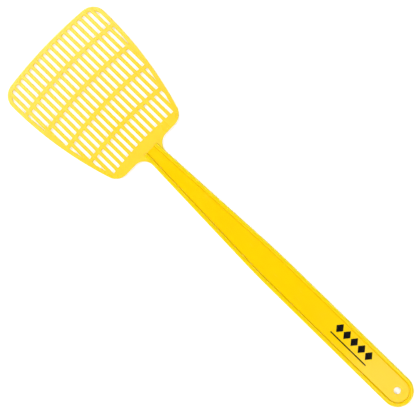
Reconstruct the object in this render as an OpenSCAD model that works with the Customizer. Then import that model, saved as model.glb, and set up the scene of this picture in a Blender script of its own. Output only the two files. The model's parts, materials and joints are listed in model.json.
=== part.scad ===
// Fly swatter moulded in one shot of yellow plastic: a thin slotted blade on a rimmed handle.
// The origin is the middle of the hang hole. +Y runs along the handle to the blade, +X runs
// across it, and +Z is the printed face. The moulding is the same above and below its middle
// plane, z = 0.

/* [Overall] */
// Length from the grip end to the far edge of the blade
overall_l = 404; // [402:1:406]
// Length of the blade, from its far edge to where the handle meets it
blade_l = 120.8; // [119.8:0.2:121.8]

/* [Blade] */
// Width of the blade at its widest
blade_w = 107.2; // [106.4:0.2:108]
// Distance from the far edge back to the widest place
widest_back = 16.3; // [15.5:0.1:17]
// Radius of the two bowed side edges
side_r = 325; // [318:1:335]
// Radius of the two far corners
corner_r = 13; // [11:0.5:14]
// Radius of the two shoulder corners beside the handle
shoulder_r = 12; // [10:0.5:14]
// Thickness of the blade
plate_t = 1.5; // [1.2:0.1:2]

/* [Grille] */
// Distance between the middles of neighbouring slots
slot_pitch = 5.5; // [5.45:0.05:5.55]
// Width of a slot
slot_w = 2.5; // [2:0.1:3]
// Width of the solid rim beside the slots
side_rim = 3.4; // [3.2:0.1:3.6]
// Width of the solid rim at the far edge
far_rim = 3.7; // [3:0.1:4.5]
// Width of the solid shoulder between the slots and the handle
shoulder_l = 10; // [9:0.5:11]
// Width of a cross rib
rib_w = 3.4; // [3:0.1:3.8]
// Distance from one cross rib to the next
rib_pitch = 21.7; // [21:0.1:22.4]

/* [Handle] */
// Width of the grip
handle_w = 25.4; // [25:0.2:26]
// Width of the handle where it meets the blade
neck_w = 14.6; // [13.4:0.2:15.4]
// Distance from the hang hole to where the handle starts to narrow
taper_start = 140; // [120:5:160]
// Height of the raised rails along both edges
rail_h = 4.4; // [3.6:0.2:5]
// Width of a rail
rail_w = 3.3; // [3:0.1:3.6]
// Thickness of the sunken web between the rails
web_t = 2.4; // [2:0.1:2.8]
// Radius of the hollow curve between the handle and the blade
gusset_r = 10; // [8:0.5:11]
// Diameter of the hang hole
hang_hole_d = 5.4; // [5:0.2:6.6]

/* [Flexing neck] */
// Length of the strip of plate that bends ahead of the handle
flex_l = 1.2; // [1:0.1:1.6]
// Width of that strip
flex_w = 36; // [36:0.5:38]

/* [Printed mark] */
// Number of lozenges
lozenge_count = 5; // [3:1:5]
// Length of one lozenge along the handle
lozenge_l = 7; // [5:0.5:7.5]
// Width of one lozenge across the handle
lozenge_w = 8.6; // [6:0.2:9]
// Distance from one lozenge to the next
lozenge_pitch = 7.7; // [7.5:0.1:8]
// Width of the rule beside the lozenges
rule_w = 1; // [0.6:0.1:1.4]
// Thickness of the ink
ink_t = 0.05; // [0.03:0.01:0.1]

/* [Hidden] */
$fn = 256;

slats_a_side = 9;
slot_rows = 5;
rib_count = slot_rows - 1;
narrowest_slot = 1;
cusp_trim = 1.5;
mark_middle_y = 49.5;
lozenge_x = 3.6;
rule_x = -3.4;

blade_yellow = "#ffe14d";
handle_yellow = "#ffd21f";
rail_yellow = "#ffdc2e";
ink_black = "#1a1a1a";

grip_r = handle_w / 2;
far_r = overall_l - grip_r;
neck_y = far_r - blade_l;
side_centre = [blade_w / 2 - side_r, far_r - widest_back];

slots_far_r = far_r - far_rim;
slots_near_r = neck_y + shoulder_l;
slots_l = slots_far_r - slots_near_r;
first_rib_r = slots_far_r - (slots_l - (rib_count - 1) * rib_pitch) / 2;

function digits(i) = i < 10 ? str("0", i) : str(i);

// The blade's outline

// Where two circles cross on the +X side: one of radius ra about the hang hole, and one of
// radius rb about centre b.
function crossing(ra, b, rb) =
    let (d = norm(b),
         along = (ra * ra - rb * rb + d * d) / (2 * d),
         off = sqrt(ra * ra - along * along))
    along * b / d + off * [b.y, -b.x] / d;

// The edge's x at height y, for the bowed side edge moved in by inset.
function side_x(y, inset = 0) =
    side_centre.x + sqrt(pow(side_r - inset, 2) - pow(side_centre.y - y, 2));

module mirrored_x() {
    children();
    mirror([1, 0]) children();
}

// Rounds a corner on the +X side and its twin on the -X side: takes the pointed part beyond
// the circle's two tangent points away, and puts the round sector back.
module rounded(centre, r, tangent_a, tangent_b) {
    tip = centre + 3 * (tangent_a - centre + tangent_b - centre);
    corner = [centre, tangent_a, tip, tangent_b];
    difference() {
        children();
        mirrored_x() polygon(corner);
    }
    mirrored_x() intersection() {
        translate(centre) circle(r = r);
        polygon(corner);
    }
}

// The far corners of the outline moved in by side_in and far_in
module far_corners(side_in, far_in) {
    r = corner_r - side_in;
    centre = crossing(far_r - far_in - r, side_centre, side_r - side_in - r);
    from_side = (centre - side_centre) / norm(centre - side_centre);
    rounded(centre, r, centre + r * centre / norm(centre), centre + r * from_side) children();
}

module shoulder_corners() {
    centre_y = neck_y + shoulder_r;
    centre = [side_x(centre_y, shoulder_r), centre_y];
    from_side = (centre - side_centre) / norm(centre - side_centre);
    rounded(centre, shoulder_r, [centre.x, neck_y], centre + shoulder_r * from_side) children();
}

// The blade with sharp corners
module sharp_blade(side_in, far_in) {
    intersection() {
        translate([-blade_w / 2, neck_y]) square([blade_w, blade_l]);
        circle(r = far_r - far_in);
        translate(side_centre) circle(r = side_r - side_in);
        mirror([1, 0]) translate(side_centre) circle(r = side_r - side_in);
    }
}

module blade_outline() {
    shoulder_corners() far_corners(0, 0) sharp_blade(0, 0);
}

// The grille's window, which holds every slot, slat and cross rib

// The near edge of row k's band, which ends with the cross rib below the row.
function band_near_r(k) =
    k < rib_count ? first_rib_r - k * rib_pitch - rib_w / 2 : slots_near_r;
function row_middle(k) = first_rib_r + rib_pitch / 2 - k * rib_pitch;
function slot_columns(k) =
    floor((side_x(row_middle(k), side_rim) - narrowest_slot + slot_w / 2) / slot_pitch);
function row_half_w(k) = slot_columns(k) * slot_pitch + slot_w / 2;

module window() {
    difference() {
        far_corners(side_rim, far_rim) sharp_blade(side_rim, far_rim);
        circle(r = slots_near_r);
        for (k = [0:rib_count - 1])
            if (slot_columns(k + 1) < slot_columns(k))
                difference() {
                    circle(r = band_near_r(k));
                    translate([-row_half_w(k + 1), 0]) square([2 * row_half_w(k + 1), far_r]);
                }
    }
}

module rib_ring(k) {
    difference() {
        circle(r = band_near_r(k) + rib_w);
        circle(r = band_near_r(k));
    }
}

// Slat i counts from 1 on the -X side to 18 on the +X side.
module slat_strip(i) {
    middle_x = (i - slats_a_side - 0.5) * slot_pitch;
    translate([middle_x - (slot_pitch - slot_w) / 2, neck_y])
        square([slot_pitch - slot_w, blade_l]);
}

module plate() {
    translate([0, 0, -plate_t / 2]) linear_extrude(plate_t) children();
}

// Slats and ribs cross like a halved lattice: a slat keeps the lower half of the thickness
// where they cross, and a rib keeps the upper half.

module slat(i) {
    color(blade_yellow) difference() {
        plate() intersection() {
            window();
            slat_strip(i);
        }
        linear_extrude(plate_t) for (k = [0:rib_count - 1]) rib_ring(k);
    }
}

module cross_rib(k) {
    color(rail_yellow) difference() {
        plate() intersection() {
            window();
            rib_ring(k - 1);
        }
        translate([0, 0, -plate_t])
            linear_extrude(plate_t) for (i = [1:2 * slats_a_side]) slat_strip(i);
    }
}

module blade_rim() {
    color(blade_yellow) plate() difference() {
        blade_outline();
        window();
        circle(r = slots_near_r);
    }
}

module shoulder() {
    color(blade_yellow) plate() difference() {
        intersection() {
            blade_outline();
            circle(r = slots_near_r);
        }
        flex_strip();
    }
}

module flex_strip() {
    translate([-flex_w / 2, neck_y]) square([flex_w, flex_l]);
}

module neck_flexure() {
    color(rail_yellow) plate() flex_strip();
}

// The handle

// Half the handle's width at height y, and how fast it narrows.
taper = (handle_w - neck_w) / 2 / (neck_y - taper_start);

module handle_body(inset) {
    grip_x = grip_r - inset;
    neck_x = neck_w / 2 - inset;
    polygon([
        [-grip_x, 0], [grip_x, 0], [grip_x, taper_start], [neck_x, neck_y],
        [-neck_x, neck_y], [-grip_x, taper_start]
    ]);
}

module handle_web() {
    color(handle_yellow) translate([0, 0, -web_t / 2]) linear_extrude(web_t) difference() {
        union() {
            handle_body(rail_w);
            circle(r = grip_r - rail_w);
        }
        circle(d = hang_hole_d);
    }
}

module rail_height() {
    translate([0, 0, -rail_h / 2]) linear_extrude(rail_h) children();
}

// The rail on the +X side between two heights
module rail(from_y, to_y) {
    color(rail_yellow) rail_height() intersection() {
        difference() {
            handle_body(0);
            handle_body(rail_w);
        }
        translate([0, from_y]) square([handle_w, to_y - from_y]);
    }
}

module right_grip_rail() {
    rail(0, taper_start);
}

module left_grip_rail() {
    mirror([1, 0, 0]) right_grip_rail();
}

module right_neck_rail() {
    rail(taper_start, neck_y);
}

module left_neck_rail() {
    mirror([1, 0, 0]) right_neck_rail();
}

module grip_bow() {
    color(rail_yellow) rail_height() difference() {
        circle(r = grip_r);
        circle(r = grip_r - rail_w);
        translate([-handle_w, 0]) square([2 * handle_w, handle_w]);
    }
}

// The hollow curve touches the handle's side and the blade's near edge. Its two cusps are
// trimmed back to where they have some thickness.
module right_gusset() {
    slant = sqrt(1 + taper * taper);
    centre = [neck_w / 2 + gusset_r * (taper + slant), neck_y - gusset_r];
    on_side = centre - gusset_r * [1, taper] / slant;
    low_y = on_side.y + cusp_trim;
    color(blade_yellow) plate() difference() {
        polygon([
            [neck_w / 2, neck_y], [centre.x - cusp_trim, neck_y],
            [centre.x - cusp_trim, low_y], [neck_w / 2 + taper * (neck_y - low_y), low_y]
        ]);
        translate(centre) circle(r = gusset_r);
    }
}

module left_gusset() {
    mirror([1, 0, 0]) right_gusset();
}

// A plain row of lozenges over a thin rule
module printed_mark() {
    mark_l = (lozenge_count - 1) * lozenge_pitch + lozenge_l;
    color(ink_black) translate([0, mark_middle_y, web_t / 2]) linear_extrude(ink_t) {
        for (i = [0:lozenge_count - 1])
            translate([lozenge_x, (i - (lozenge_count - 1) / 2) * lozenge_pitch])
                polygon([
                    [-lozenge_w / 2, 0], [0, -lozenge_l / 2],
                    [lozenge_w / 2, 0], [0, lozenge_l / 2]
                ]);
        translate([rule_x - rule_w / 2, -mark_l / 2]) square([rule_w, mark_l]);
    }
}

handle_web();
grip_bow();
left_grip_rail();
right_grip_rail();
left_neck_rail();
right_neck_rail();
left_gusset();
right_gusset();
printed_mark();
neck_flexure();
shoulder();
blade_rim();
for (i = [1:rib_count])
    cross_rib(i);
for (i = [1:2 * slats_a_side])
    slat(i);
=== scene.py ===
"""Looks of a one-piece moulded plastic fly swatter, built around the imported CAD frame.

Everything is in metres. The origin is the middle of the hang hole, +Y runs along the handle to
the blade, +X runs across it, and +Z is the printed face. The moulding is the same above and
below its parting line, z = 0.
"""

import json
import math

import bmesh
import bpy
from mathutils import Matrix, Vector
from mathutils.geometry import delaunay_2d_cdt


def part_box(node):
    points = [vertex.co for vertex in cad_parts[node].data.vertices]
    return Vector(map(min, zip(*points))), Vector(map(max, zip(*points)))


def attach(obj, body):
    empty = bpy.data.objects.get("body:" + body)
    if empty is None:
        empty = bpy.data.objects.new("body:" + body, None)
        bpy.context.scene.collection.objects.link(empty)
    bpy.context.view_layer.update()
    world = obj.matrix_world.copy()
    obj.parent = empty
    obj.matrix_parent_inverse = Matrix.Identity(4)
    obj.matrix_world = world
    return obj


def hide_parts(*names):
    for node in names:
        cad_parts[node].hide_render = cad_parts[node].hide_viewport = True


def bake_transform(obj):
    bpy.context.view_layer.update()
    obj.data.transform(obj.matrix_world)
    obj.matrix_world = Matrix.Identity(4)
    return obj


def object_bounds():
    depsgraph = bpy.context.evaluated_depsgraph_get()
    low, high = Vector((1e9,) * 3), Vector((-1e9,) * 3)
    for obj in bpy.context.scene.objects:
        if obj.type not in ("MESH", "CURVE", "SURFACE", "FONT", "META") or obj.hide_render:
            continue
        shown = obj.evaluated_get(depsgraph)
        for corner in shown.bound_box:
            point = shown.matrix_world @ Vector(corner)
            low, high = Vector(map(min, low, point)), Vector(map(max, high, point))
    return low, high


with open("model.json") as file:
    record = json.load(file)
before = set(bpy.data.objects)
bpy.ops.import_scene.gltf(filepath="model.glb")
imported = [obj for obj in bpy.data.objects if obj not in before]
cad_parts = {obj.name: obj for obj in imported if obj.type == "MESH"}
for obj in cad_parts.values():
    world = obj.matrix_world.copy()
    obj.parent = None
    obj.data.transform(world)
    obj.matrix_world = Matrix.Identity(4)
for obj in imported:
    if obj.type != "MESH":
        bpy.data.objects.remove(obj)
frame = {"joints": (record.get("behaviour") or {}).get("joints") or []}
cad_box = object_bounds()

MM = 0.001

# Sizes that the frame gives

FAR_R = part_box("blade_rim")[1].y
BLADE_HALF_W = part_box("blade_rim")[1].x
PLATE_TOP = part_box("blade_rim")[1].z
NECK_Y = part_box("neck_flexure")[0].y
HINGE_Y = frame["joints"][0]["pos_m"][1]
GRIP_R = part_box("grip_bow")[1].x
RAIL_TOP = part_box("grip_bow")[1].z
WEB_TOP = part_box("handle_web")[1].z
RAIL_W = GRIP_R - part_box("right_grip_rail")[0].x
TAPER_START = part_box("right_grip_rail")[1].y
NECK_HALF_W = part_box("right_neck_rail")[0].x + RAIL_W
SLOT_W = 2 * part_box("slat_10")[0].x
SLOT_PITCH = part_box("slat_10")[1].x + SLOT_W / 2
SLOTS_NEAR_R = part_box("shoulder")[1].y
RIB_FAR_R = [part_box(f"cross_rib_{k}")[1].y for k in range(1, 5)]
FLOOR_Z = cad_box[0].z

# Sizes of the same names in the part's source

WIDEST_BACK = 16.3 * MM
SIDE_R = 325 * MM
CORNER_R = 13 * MM
SHOULDER_R = 12 * MM
GUSSET_R = 10 * MM
HOLE_R = 2.7 * MM
SIDE_RIM = 3.4 * MM
FAR_RIM = 3.7 * MM
RIB_W = 3.4 * MM
NARROWEST_SLOT = 1 * MM
MARK_MIDDLE_Y = 49.5 * MM
LOZENGE_COUNT = 5
LOZENGE_L = 7 * MM
LOZENGE_W = 8.6 * MM
LOZENGE_PITCH = 7.7 * MM
LOZENGE_X = 3.6 * MM
RULE_X = -3.4 * MM
RULE_W = 1 * MM
INK_T = 0.05 * MM

SIDE_CENTRE = Vector((BLADE_HALF_W - SIDE_R, FAR_R - WIDEST_BACK))
TAPER = (GRIP_R - NECK_HALF_W) / (NECK_Y - TAPER_START)

# Sizes that only the finished surface has

PLATE_EDGE_R = 0.35 * MM
SLOT_CORNER = 0.45 * MM
STEP_EDGE_R = 0.15 * MM
TAPER_EASE = 14 * MM
TONGUE_Y = NECK_Y - 15 * MM
PIN_R = 2.5 * MM
PIN_HEIGHTS = [28 * MM, 96 * MM, 164 * MM, 232 * MM]
SHOULDER_PIN_X = 19 * MM
GATE_Y = 198 * MM
BEND_START_Y = HINGE_Y - 1.6 * MM
BEND_END_Y = HINGE_Y + 3.2 * MM


# Plane outlines: lists of 2D vectors


def arc(centre, radius, start, end, step):
    """Points from one angle to another, no further apart than step."""
    count = max(2, math.ceil(abs(end - start) * radius / step))
    angles = [start + (end - start) * i / count for i in range(count + 1)]
    return [centre + radius * Vector((math.cos(a), math.sin(a))) for a in angles]


def angle_of(vector):
    """The direction of a 2D vector, from +X, in radians."""
    return math.atan2(vector.y, vector.x)


def crossing(radius_a, centre_b, radius_b):
    """Where a circle about the origin and one about centre_b cross, on the +X side."""
    d = centre_b.length
    along = (radius_a**2 - radius_b**2 + d**2) / (2 * d)
    off = math.sqrt(radius_a**2 - along**2)
    return along * centre_b / d + off * Vector((centre_b.y, -centre_b.x)) / d


def side_x(y, inset=0.0):
    """The blade's bowed side edge at height y, moved in by inset."""
    return SIDE_CENTRE.x + math.sqrt((SIDE_R - inset) ** 2 - (SIDE_CENTRE.y - y) ** 2)


def far_edge(side_in, far_in, low_angle):
    """The +X side edge from low_angle up, the far corner, and the far edge to the middle."""
    side_r = SIDE_R - side_in
    corner_r = CORNER_R - side_in
    far_r = FAR_R - far_in
    corner = crossing(far_r - corner_r, SIDE_CENTRE, side_r - corner_r)
    turn_in = angle_of(corner - SIDE_CENTRE)
    turn_out = angle_of(corner)
    return (
        arc(SIDE_CENTRE, side_r, low_angle, turn_in, 3 * MM)
        + arc(corner, corner_r, turn_in, turn_out, 1 * MM)
        + arc(Vector((0, 0)), far_r, turn_out, math.pi / 2, 3 * MM)
    )


def gusset():
    """The hollow curve from the handle's side to the blade's near edge, on the +X side."""
    slant = math.hypot(1, TAPER)
    centre = Vector((NECK_HALF_W + GUSSET_R * (TAPER + slant), NECK_Y - GUSSET_R))
    start = math.pi + math.atan(TAPER)
    return arc(centre, GUSSET_R, start, math.pi / 2, 0.8 * MM)


def shoulder_corner():
    """The rounded corner beside the handle, and the angle where it meets the side edge."""
    centre_y = NECK_Y + SHOULDER_R
    centre = Vector((side_x(centre_y, SHOULDER_R), centre_y))
    turn = angle_of(centre - SIDE_CENTRE)
    return arc(centre, SHOULDER_R, -math.pi / 2, turn, 1 * MM), turn


def tidied(points):
    """The closed outline without points that repeat."""
    kept = []
    for p in points:
        if not kept or (p - kept[-1]).length > 0.02 * MM:
            kept.append(p)
    return kept if (kept[0] - kept[-1]).length > 0.02 * MM else kept[:-1]


def with_mirror(right_half):
    """An outline that runs up the +X side, closed by its mirror image down the -X side."""
    return tidied(right_half + [Vector((-p.x, p.y)) for p in reversed(right_half)])


def plate_outline():
    """The blade and its two gussets, with a tongue that is hidden inside the handle."""
    hollow = gusset()
    corner, turn = shoulder_corner()
    tongue_x = hollow[0].x - 0.8 * MM
    tongue = [Vector((tongue_x, TONGUE_Y)), Vector((tongue_x, hollow[0].y - 1.5 * MM))]
    return with_mirror(tongue + hollow + corner + far_edge(0, 0, turn))


# Slots


def clipped(loop, keep):
    """The part of a closed outline where keep(point) is not negative."""
    inside = []
    for a, b in zip(loop, loop[1:] + loop[:1]):
        if keep(a) >= 0:
            inside.append(a)
        if (keep(a) >= 0) != (keep(b) >= 0):
            low, high = 0.0, 1.0
            for _ in range(40):
                middle = (low + high) / 2
                if (keep(a.lerp(b, middle)) >= 0) == (keep(a) >= 0):
                    low = middle
                else:
                    high = middle
            inside.append(a.lerp(b, low))
    return inside


def resampled(loop, spacing):
    """The closed outline with points added, so that none lie much further apart than spacing."""
    points = []
    for a, b in zip(loop, loop[1:] + loop[:1]):
        count = max(1, round((b - a).length / spacing))
        points += [a.lerp(b, i / count) for i in range(count)]
    return points


def thinned(loop, tolerance):
    """The closed outline without points that lie on the line between the ones kept."""
    kept = [loop[0]]
    skipped = []
    for p, after in zip(loop[1:], loop[2:] + loop[:1]):
        skipped.append(p)
        chord = after - kept[-1]
        if any(abs(chord.cross(s - kept[-1])) > tolerance * chord.length for s in skipped):
            kept.append(p)
            skipped = []
    return kept


def softened(loop, reach):
    """The outline with its corners rounded, by averaging it over reach each way."""
    spacing = reach / 6
    points = resampled(loop, spacing)
    total = len(points)
    rounded = []
    for i in range(total):
        near = [points[(i + k) % total] for k in range(-6, 7)]
        rounded.append(sum(near, Vector((0, 0))) / len(near))
    return thinned(rounded, 0.004 * MM)


def slot_rows():
    """Each row's far and near radius, both about the hang hole."""
    far = [FAR_R - FAR_RIM] + [r - RIB_W for r in RIB_FAR_R]
    return list(zip(far, RIB_FAR_R + [SLOTS_NEAR_R]))


def slots_a_side(row):
    """How many slots a row has on each side of its middle one."""
    rib_pitch = RIB_FAR_R[0] - RIB_FAR_R[1]
    row_middle = RIB_FAR_R[0] - RIB_W / 2 + (0.5 - row) * rib_pitch
    room = side_x(row_middle, SIDE_RIM) - NARROWEST_SLOT + SLOT_W / 2
    return math.floor(room / SLOT_PITCH)


def slot_outlines():
    """Every slot's outline: the inside of the rim, cut into columns and curved rows."""
    low_angle = angle_of(Vector((side_x(NECK_Y), NECK_Y)) - SIDE_CENTRE)
    window = with_mirror(far_edge(SIDE_RIM, FAR_RIM, low_angle))
    outlines = []
    for row, (far_r, near_r) in enumerate(slot_rows()):
        count = slots_a_side(row)
        for i in range(-count, count + 1):
            low_x = i * SLOT_PITCH - SLOT_W / 2
            high_x = i * SLOT_PITCH + SLOT_W / 2
            slot = clipped(window, lambda p: p.x - low_x)
            slot = clipped(slot, lambda p: high_x - p.x)
            slot = clipped(slot, lambda p: far_r - p.length)
            slot = clipped(slot, lambda p: p.length - near_r)
            outlines.append(softened(tidied(slot), SLOT_CORNER)[::-1])
    return outlines


# Moulded sections: lists of (inset from the outline, height above the parting line)


def filleted(corners, radii):
    """A polyline with its inner corners rounded to the given radii."""
    points = [Vector(c) * MM for c in corners]
    path = [points[0]]
    for a, b, c, radius in zip(points, points[1:], points[2:], radii):
        back, on = (a - b).normalized(), (c - b).normalized()
        half = back.angle(on) / 2
        reach = radius * MM / math.tan(half)
        centre = b + (back + on).normalized() * (radius * MM / math.sin(half))
        first, last = b + back * reach - centre, b + on * reach - centre
        turn = first.angle_signed(last)
        steps = max(2, math.ceil(abs(turn) / math.radians(16)))
        for i in range(steps + 1):
            path.append(centre + Matrix.Rotation(-turn * i / steps, 2) @ first)
    return path + [points[-1]]


def plate_section():
    """The plate's edge: a little draft, a rounded corner, and a flat support ring."""
    top, edge = PLATE_TOP / MM, PLATE_EDGE_R / MM
    return filleted([(0, 0), (0.04, top), (edge + 0.25, top)], [edge])


def rail_section():
    """The rail: a drafted side, a crown, and a slope down to the web with a fillet."""
    top, web, width = RAIL_TOP / MM, WEB_TOP / MM, RAIL_W / MM
    return filleted(
        [
            (0, 0),
            (0.07, top - 0.12),
            (width / 2, top),
            (width - 0.35, top - 0.12),
            (width + 0.25, web),
            (width + 1.1, web),
        ],
        [0.75, 6, 0.4, 0.45],
    )


def hole_section():
    """The hang hole's wall, with a rounded edge."""
    top = WEB_TOP / MM
    return filleted([(0, 0), (0, top), (0.7, top)], [0.4])


# Solids, built as one list of vertices and one of faces


class Solid:
    """Faces and vertices, each vertex marked 1 on an edge, -1 in a corner and 0 elsewhere; the
    material paints shade and wear by these marks.
    """

    def __init__(self):
        self.points = []
        self.marks = []
        self.faces = []

    def add(self, point, mark=0.0):
        self.points.append(Vector(point))
        self.marks.append(mark)
        return len(self.points) - 1

    def strip(self, row, next_row, closed):
        """Quads between two rows of vertices."""
        last = len(row) if closed else len(row) - 1
        for i in range(last):
            j = (i + 1) % len(row)
            self.faces.append((row[i], row[j], next_row[j], next_row[i]))

    def flat(self, loops, up):
        """Triangles between closed loops of vertices that all lie at one height."""
        corners = [i for loop in loops for i in loop]
        outlines = []
        for loop in loops:
            first = sum(len(outline) for outline in outlines)
            outlines.append(list(range(first, first + len(loop))))
        plane = [Vector((self.points[i].x, self.points[i].y)) / MM for i in corners]
        inside_but_for_holes = 2
        _, _, triangles, sources, _, _ = delaunay_2d_cdt(
            plane, [], outlines, inside_but_for_holes, 1e-6
        )
        for triangle in triangles:
            face = tuple(corners[sources[i][0]] for i in triangle)
            self.faces.append(face if up else face[::-1])

    def object(self, name, material):
        """The mesh object, facing outward, with the marks as its "relief"."""
        mesh = bpy.data.meshes.new(name)
        mesh.from_pydata(self.points, [], self.faces)
        mesh.attributes.new("relief", "FLOAT", "POINT").data.foreach_set("value", self.marks)
        outward = bmesh.new()
        outward.from_mesh(mesh)
        bmesh.ops.recalc_face_normals(outward, faces=outward.faces)
        outward.to_mesh(mesh)
        outward.free()
        mesh.shade_smooth()
        mesh.materials.append(material)
        made = bpy.data.objects.new(name, mesh)
        bpy.context.scene.collection.objects.link(made)
        return made


def section_rows(section, edge_w, corner=(1, 0)):
    """The section's points from the lower flat round the edge to the upper flat, with marks."""
    last = len(section) - 1
    rows = []
    for k in range(-last, last + 1):
        inset, height = section[abs(k)]
        mark = 1.0 if inset < edge_w else 0.0
        if corner[0] < inset < corner[1]:
            mark = -1.0
        rows.append((inset, math.copysign(height, k), mark))
    return rows


def inward(loop):
    """For each point of a closed outline, how far it moves as the outline shrinks by 1."""
    moves = []
    for before, p, after in zip(loop[-1:] + loop[:-1], loop, loop[1:] + loop[:1]):
        a, b = (p - before).normalized(), (after - p).normalized()
        left_a, left_b = Vector((-a.y, a.x)), Vector((-b.y, b.x))
        moves.append((left_a + left_b) / (1 + left_a.dot(left_b)))
    return moves


def add_edge(solid, loop, section):
    """Runs a section round a closed outline; returns the loops beside both flats."""
    moves = inward(loop)
    rows = []
    for inset, z, mark in section_rows(section, PLATE_EDGE_R):
        row = []
        for p, move in zip(loop, moves):
            q = p + move * inset
            row.append(solid.add((q.x, q.y, z), mark))
        rows.append(row)
    for row, next_row in zip(rows, rows[1:]):
        solid.strip(row, next_row, True)
    return rows[0], rows[-1]


def stepped_disc(solid, centre, z, rings):
    """Rings of (radius, height out of the back) closed by a disc; returns the widest loop."""
    rows = []
    for radius, out in rings:
        row = []
        for i in range(32):
            angle = -2 * math.pi * i / 32
            x = centre[0] + radius * MM * math.cos(angle)
            y = centre[1] + radius * MM * math.sin(angle)
            row.append(solid.add((x, y, z - out * MM)))
        rows.append(row)
    for row, next_row in zip(rows, rows[1:]):
        solid.strip(row, next_row, True)
    solid.flat([rows[-1]], False)
    return rows[0]


def pin_mark(solid, centre, z):
    """The shallow dent that an ejector pin leaves in the back."""
    r = PIN_R / MM
    return stepped_disc(solid, centre, z, [(r + 0.2, 0), (r, 0), (r - 0.08, -0.09), (r - 0.4, -0.09)])


def gate_mark(solid, centre, z):
    """The low nub where the plastic came in, snapped off short."""
    return stepped_disc(solid, centre, z, [(1.8, 0), (1.5, 0), (1.3, 0.16), (1.15, 0.24), (0.8, 0.2)])


# Blade


def cut_across(mesh, low_y, high_y, spacing):
    """Cuts the mesh across the handle's line, so that it can bend smoothly."""
    cuts = bmesh.new()
    cuts.from_mesh(mesh)
    for i in range(round((high_y - low_y) / spacing) + 1):
        whole = cuts.verts[:] + cuts.edges[:] + cuts.faces[:]
        plane_at = (0, low_y + i * spacing, 0)
        bmesh.ops.bisect_plane(cuts, geom=whole, dist=1e-7, plane_co=plane_at, plane_no=(0, 1, 0))
    bmesh.ops.triangulate(cuts, faces=[f for f in cuts.faces if len(f.verts) > 4])
    cuts.to_mesh(mesh)
    cuts.free()


def blade_plate(material):
    """The slotted plate with its gussets, cut across at the neck."""
    solid = Solid()
    section = plate_section()
    borders = [add_edge(solid, plate_outline(), section)]
    borders += [add_edge(solid, slot, section) for slot in slot_outlines()]
    pin_y = (NECK_Y + SLOTS_NEAR_R) / 2
    pins = [pin_mark(solid, (x, pin_y), -PLATE_TOP) for x in (-SHOULDER_PIN_X, SHOULDER_PIN_X)]
    solid.flat([low for low, high in borders] + pins, False)
    solid.flat([high for low, high in borders], True)
    plate = solid.object("blade_plate", material)
    cut_across(plate.data, BEND_START_Y, BEND_END_Y, 0.4 * MM)
    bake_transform(plate)
    return plate


# Handle


def handle_half_w(y):
    """The handle's half width, with the start of the taper eased into a long curve."""
    past = y - TAPER_START
    if past > TAPER_EASE:
        return GRIP_R - TAPER * past
    if past < -TAPER_EASE:
        return GRIP_R
    return GRIP_R - TAPER * (past + TAPER_EASE) ** 2 / (4 * TAPER_EASE)


def handle_path():
    """Stations down the -X side, round the grip end and up the +X side: point and inward."""
    front_y = NECK_Y - STEP_EDGE_R
    count = 64
    heights = [front_y * i / count for i in range(1, count)] + [front_y - 0.3 * MM, front_y]
    left = [(Vector((-handle_half_w(y), y)), Vector((1, 0))) for y in reversed(heights)]
    right = [(Vector((handle_half_w(y), y)), Vector((-1, 0))) for y in heights]
    bow = [(p, -p.normalized()) for p in arc(Vector((0, 0)), GRIP_R, -math.pi, 0, 0.8 * MM)]
    return left + bow + right


def close_front(solid, columns):
    """Rounds the edge of the step in front of the handle, and closes its face."""
    ring = columns[0] + columns[-1][::-1]
    loop = [Vector((solid.points[i].x, solid.points[i].z)) for i in ring]
    moves = inward(loop)
    steps = 4
    for k in range(1, steps + 1):
        turn = math.pi / 2 * k / steps
        inset = STEP_EDGE_R * (1 - math.cos(turn))
        y = NECK_Y - STEP_EDGE_R * (1 - math.sin(turn))
        next_ring = []
        for p, move in zip(loop, moves):
            q = p - move * inset
            next_ring.append(solid.add((q.x, y, q.y), 1.0 if k < steps else 0.0))
        solid.strip(ring, next_ring, True)
        ring = next_ring
    solid.faces.append(tuple(ring))


def handle_moulding(material):
    """The web and the rail round it, as one section run along the handle's outline."""
    solid = Solid()
    columns = []
    # The rail's outer part is marked as edge and the foot of its inner slope as corner; the material
    # paints shade on both.
    rows = section_rows(rail_section(), RAIL_W - 0.6 * MM, (RAIL_W - 0.2 * MM, RAIL_W + 0.6 * MM))
    for p, towards in handle_path():
        column = []
        for inset, z, mark in rows:
            q = p + towards * inset
            column.append(solid.add((q.x, q.y, z), mark))
        columns.append(column)
    for column, next_column in zip(columns, columns[1:]):
        solid.strip(column, next_column, False)
    hole = arc(Vector((0, 0)), HOLE_R, 0, -2 * math.pi, 0.4 * MM)[:-1]
    hole_low, hole_high = add_edge(solid, hole, hole_section())
    dents = [pin_mark(solid, (0, y), -WEB_TOP) for y in PIN_HEIGHTS]
    dents.append(gate_mark(solid, (0, GATE_Y), -WEB_TOP))
    solid.flat([[c[0] for c in columns], hole_low] + dents, False)
    solid.flat([[c[-1] for c in columns], hole_high], True)
    close_front(solid, columns)
    handle = solid.object("handle_moulding", material)
    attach(handle, "handle")
    return handle


# Printed mark


def ink_patch(solid, outline):
    """A raised film of ink on the web, with a slightly rounded outline."""
    rows = []
    for inset, z in ((0, -0.2 * INK_T), (0, 0.7 * INK_T), (0.06 * MM, INK_T)):
        row = []
        for p, move in zip(outline, inward(outline)):
            q = p + move * inset
            row.append(solid.add((q.x, q.y, WEB_TOP + z)))
        rows.append(row)
    for row, next_row in zip(rows, rows[1:]):
        solid.strip(row, next_row, True)
    solid.flat([rows[-1]], True)
    solid.flat([rows[0]], False)


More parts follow.
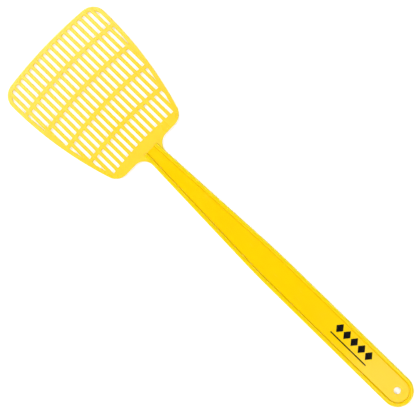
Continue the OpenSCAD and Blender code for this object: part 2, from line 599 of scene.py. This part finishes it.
def printed_mark(material):
    """A row of lozenges beside a narrow rule."""
    solid = Solid()
    mark_l = (LOZENGE_COUNT - 1) * LOZENGE_PITCH + LOZENGE_L
    for i in range(LOZENGE_COUNT):
        middle = Vector((LOZENGE_X, MARK_MIDDLE_Y + (i - (LOZENGE_COUNT - 1) / 2) * LOZENGE_PITCH))
        half_w, half_l = Vector((LOZENGE_W / 2, 0)), Vector((0, LOZENGE_L / 2))
        lozenge = [middle + half_w, middle + half_l, middle - half_w, middle - half_l]
        ink_patch(solid, softened(lozenge, 0.3 * MM))
    low = Vector((RULE_X - RULE_W / 2, MARK_MIDDLE_Y - mark_l / 2))
    wide, tall = Vector((RULE_W, 0)), Vector((0, mark_l))
    ink_patch(solid, softened([low, low + wide, low + wide + tall, low + tall], 0.15 * MM))
    mark = solid.object("printed_mark_film", material)
    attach(mark, "handle")
    return mark


# Materials


def new_material(name):
    """A material with its node tree and its shader."""
    material = bpy.data.materials.new(name)
    material.use_nodes = True
    tree = material.node_tree
    return material, tree, tree.nodes["Principled BSDF"]


def node(tree, kind, settings=(), **inputs):
    """A node with its properties and unlinked inputs set, and its given inputs linked."""
    made = tree.nodes.new(kind)
    for name, value in dict(settings).items():
        setattr(made, name, value)
    for name, value in inputs.items():
        socket = made.inputs[name.replace("_", " ")]
        if isinstance(value, bpy.types.NodeSocket):
            tree.links.new(value, socket)
        else:
            socket.default_value = value
    return made


def place(tree, stretch=(1, 1, 1)):
    """The point on the object, scaled so that a pattern stretches along an axis."""
    where = node(tree, "ShaderNodeTexCoord").outputs["Object"]
    return node(tree, "ShaderNodeMapping", Vector=where, Scale=stretch).outputs["Vector"]


def noise(tree, vector, scale, detail=3.0, roughness=0.55):
    made = node(
        tree, "ShaderNodeTexNoise", Vector=vector, Scale=scale, Detail=detail, Roughness=roughness
    )
    return made.outputs["Fac"]


def between(tree, value, low, high, from_low=0.0, from_high=1.0):
    """value's range from_low to from_high, carried over to low to high and held there."""
    made = node(tree, "ShaderNodeMapRange", {"clamp": True}, Value=value)
    for socket, number in zip(made.inputs[1:5], (from_low, from_high, low, high)):
        socket.default_value = number
    return made.outputs["Result"]


def times(tree, a, b):
    """The product of two sockets or numbers."""
    made = node(tree, "ShaderNodeMath", {"operation": "MULTIPLY"})
    for socket, value in zip(made.inputs, (a, b)):
        if isinstance(value, bpy.types.NodeSocket):
            tree.links.new(value, socket)
        else:
            socket.default_value = value
    return made.outputs["Value"]


def plus(tree, a, b):
    """The sum of two sockets."""
    made = node(tree, "ShaderNodeMath", {"operation": "ADD"})
    tree.links.new(a, made.inputs[0])
    tree.links.new(b, made.inputs[1])
    return made.outputs["Value"]


def mixed(tree, share, a, b):
    """Colour a where share is 0, and b where it is 1."""
    made = node(tree, "ShaderNodeMix", {"data_type": "RGBA"})
    tree.links.new(share, made.inputs["Factor"])
    for socket, value in zip((made.inputs[6], made.inputs[7]), (a, b)):
        if isinstance(value, bpy.types.NodeSocket):
            tree.links.new(value, socket)
        else:
            socket.default_value = value
    return made.outputs[2]


def fine_scratches(tree):
    """Hairline scuffs that run mostly along the swatter."""
    lines = noise(tree, place(tree, (900, 45, 900)), 1.0, detail=2.0)
    patches = noise(tree, place(tree), 60.0, detail=2.0)
    return times(tree, between(tree, lines, 0, 1, 0.62, 0.7), between(tree, patches, 0, 1, 0.5, 0.65))


def yellow_plastic(name, deep, pale, roughness):
    """Self-coloured moulded plastic: faint flow marks, painted shade on rounded edges and in the
    rail's hollow corners, worn edges, scuffs and a fine skin.
    """
    material, tree, shader = new_material(name)
    flow = noise(tree, place(tree, (60, 12, 60)), 1.0, detail=4.0)
    colour = mixed(tree, between(tree, flow, 0, 1, 0.3, 0.7), deep, pale)
    relief = node(tree, "ShaderNodeAttribute", {"attribute_name": "relief"}).outputs["Fac"]
    edge = between(tree, relief, 0, 1)
    # Painted shade: a darker, olive tint on the rounded edges of the plate and slots and along the
    # rail, standing in for the shade that falls there.
    edge_painted_shade = [pale[0] * 0.88, pale[1] * 1.03, pale[2] * 4, 1]
    colour = mixed(tree, edge, colour, edge_painted_shade)
    # Painted shade: the foot of the rail's inner slope, marked -1, gets a deeper orange that stands
    # in for the shade in that hollow.
    corner_painted_shade = [deep[0] * 0.91, deep[1] * 0.88, deep[2], 1]
    colour = mixed(tree, between(tree, relief, 1, 0, -1, 0), colour, corner_painted_shade)
    rubbed = noise(tree, place(tree), 350.0, detail=4.0)
    wear = times(tree, edge, between(tree, rubbed, 0, 0.3, 0.58, 0.75))
    scuffs = fine_scratches(tree)
    worn = [min(1.0, c + (1 - c) * 0.08) for c in pale[:3]] + [1]
    colour = mixed(tree, plus(tree, wear, times(tree, scuffs, 0.15)), colour, worn)
    tree.links.new(colour, shader.inputs["Base Color"])
    smears = noise(tree, place(tree, (40, 18, 40)), 1.0, detail=5.0, roughness=0.6)
    gloss = between(tree, smears, roughness - 0.04, roughness + 0.07, 0.3, 0.75)
    gloss = plus(tree, gloss, times(tree, plus(tree, wear, scuffs), 0.18))
    tree.links.new(gloss, shader.inputs["Roughness"])
    skin = noise(tree, place(tree), 900.0, detail=2.0)
    ripple = noise(tree, place(tree, (90, 35, 90)), 1.0, detail=1.0)
    height = plus(tree, times(tree, skin, 0.12), times(tree, ripple, 1.2))
    height = plus(tree, height, times(tree, scuffs, -0.3))
    bump = node(tree, "ShaderNodeBump", Strength=0.35, Distance=0.02 * MM, Height=height)
    tree.links.new(bump.outputs["Normal"], shader.inputs["Normal"])
    shader.inputs["IOR"].default_value = 1.49
    shader.inputs["Subsurface Weight"].default_value = 0.35
    shader.inputs["Subsurface Radius"].default_value = (1.0, 0.7, 0.12)
    shader.inputs["Subsurface Scale"].default_value = 1.6 * MM
    return material


def black_ink():
    """Pad-printed ink: nearly black, with a dry, faintly mottled skin."""
    material, tree, shader = new_material("black_ink_film")
    mottle = noise(tree, place(tree), 700.0, detail=4.0)
    colour = mixed(tree, mottle, (0.001, 0.001, 0.001, 1), (0.004, 0.0035, 0.003, 1))
    pinholes = between(tree, noise(tree, place(tree), 2600.0, detail=2.0), 0, 0.5, 0.76, 0.82)
    colour = mixed(tree, pinholes, colour, (0.35, 0.25, 0.01, 1))
    tree.links.new(colour, shader.inputs["Base Color"])
    tree.links.new(between(tree, mottle, 0.2, 0.34), shader.inputs["Roughness"])
    shader.inputs["Specular IOR Level"].default_value = 0.15
    bump = node(tree, "ShaderNodeBump", Strength=0.3, Distance=0.01 * MM, Height=mottle)
    tree.links.new(bump.outputs["Normal"], shader.inputs["Normal"])
    return material


# Stage


def white_floor():
    """A matt white floor that glows faintly, like a light table."""
    material, tree, shader = new_material("white_floor")
    shade = noise(tree, place(tree), 6.0)
    tree.links.new(
        mixed(tree, shade, (0.75, 0.75, 0.75, 1), (0.78, 0.78, 0.78, 1)), shader.inputs["Base Color"]
    )
    shader.inputs["Roughness"].default_value = 0.9
    shader.inputs["Specular IOR Level"].default_value = 0.0
    shader.inputs["Emission Color"].default_value = (1, 1, 1, 1)
    shader.inputs["Emission Strength"].default_value = 0.3
    mesh = bpy.data.meshes.new("floor")
    half = 3.0
    corners = [(-half, -half), (half, -half), (half, half), (-half, half)]
    mesh.from_pydata([(x, y, FLOOR_Z) for x, y in corners], [], [(0, 1, 2, 3)])
    mesh.materials.append(material)
    floor = bpy.data.objects.new("floor", mesh)
    bpy.context.scene.collection.objects.link(floor)


def aimed(position, target, up):
    """The placing of something at position whose -Z looks at target and whose +Y is up."""
    back = (Vector(position) - Vector(target)).normalized()
    right = Vector(up).cross(back).normalized()
    turn = Matrix((right, back.cross(right), back)).transposed()
    return Matrix.Translation(position) @ turn.to_4x4()


def soft_light(name, position, target, width, height, power):
    """A rectangular area light, in metres and watts."""
    lamp = bpy.data.lights.new(name, "AREA")
    lamp.shape = "RECTANGLE"
    lamp.size = width
    lamp.size_y = height
    lamp.energy = power
    made = bpy.data.objects.new(name, lamp)
    made.matrix_world = aimed(position, target, (0, 1, 0))
    bpy.context.scene.collection.objects.link(made)


def studio_light():
    """Large soft lights on all sides, strongest from both ends, and a small one over the grip."""
    middle = (0, 0.19, 0)
    soft_light("far_softbox", (-0.05, 1.2, 1.5), middle, 1.2, 0.8, 19.3)
    soft_light("far_left_softbox", (-1.1, 1.1, 1.3), middle, 0.8, 0.8, 14)
    soft_light("near_softbox", (0, -1.1, 1.5), middle, 1.2, 0.8, 22.8)
    soft_light("near_left_softbox", (-1.1, -0.9, 1.3), middle, 0.8, 0.8, 6.7)
    soft_light("left_strip", (-0.65, 0.25, 1.6), middle, 0.4, 1.2, 0.7)
    soft_light("right_strip", (0.65, 0.25, 1.6), middle, 0.4, 1.2, 6.7)
    soft_light("grip_softbox", (-0.05, -0.145, 1.5), (-0.05, -0.145, 0), 0.24, 0.17, 0.24)
    world = bpy.data.worlds.new("studio")
    world.use_nodes = True
    world.node_tree.nodes["Background"].inputs["Color"].default_value = (1, 1, 1, 1)
    world.node_tree.nodes["Background"].inputs["Strength"].default_value = 0.02
    bpy.context.scene.world = world


def camera():
    """Nearly straight above, with the handle running down to the picture's lower right."""
    picture_up = math.radians(44.35)
    lens = bpy.data.cameras.new("camera")
    lens.lens = 102.86
    lens.sensor_width = 36
    lens.clip_start = 0.01
    made = bpy.data.objects.new("camera", lens)
    up = (math.cos(picture_up), math.sin(picture_up), 0)
    made.matrix_world = aimed((0.0377, 0.1042, 0.9444), (-0.0014, 0.2025, 0), up)
    bpy.context.scene.collection.objects.link(made)
    bpy.context.scene.camera = made


def main():
    camera()
    studio_light()
    white_floor()
    bpy.context.scene.view_settings.view_transform = "Standard"
    handle_yellow = yellow_plastic(
        "handle_yellow", (0.76, 0.49, 0.0004, 1), (0.79, 0.515, 0.0006, 1), 0.11
    )
    # The handle and blade are one plastic; the blade's paler copy is painted light, standing in for
    # light that shines through the thin plate.
    blade_yellow = yellow_plastic(
        "blade_yellow", (0.745, 0.505, 0.004, 1), (0.785, 0.535, 0.007, 1), 0.28
    )
    handle = handle_moulding(handle_yellow)
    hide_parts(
        "handle_web", "grip_bow", "left_grip_rail", "right_grip_rail",
        "left_neck_rail", "right_neck_rail",
    )
    plate = blade_plate(blade_yellow)
    ribs = [f"cross_rib_{k}" for k in range(1, 5)]
    slats = [f"slat_{k:02d}" for k in range(1, 19)]
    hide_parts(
        "left_gusset", "right_gusset", "neck_flexure", "shoulder", "blade_rim",
        *ribs, *slats,
    )
    mark = printed_mark(black_ink())
    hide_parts("printed_mark")


main()
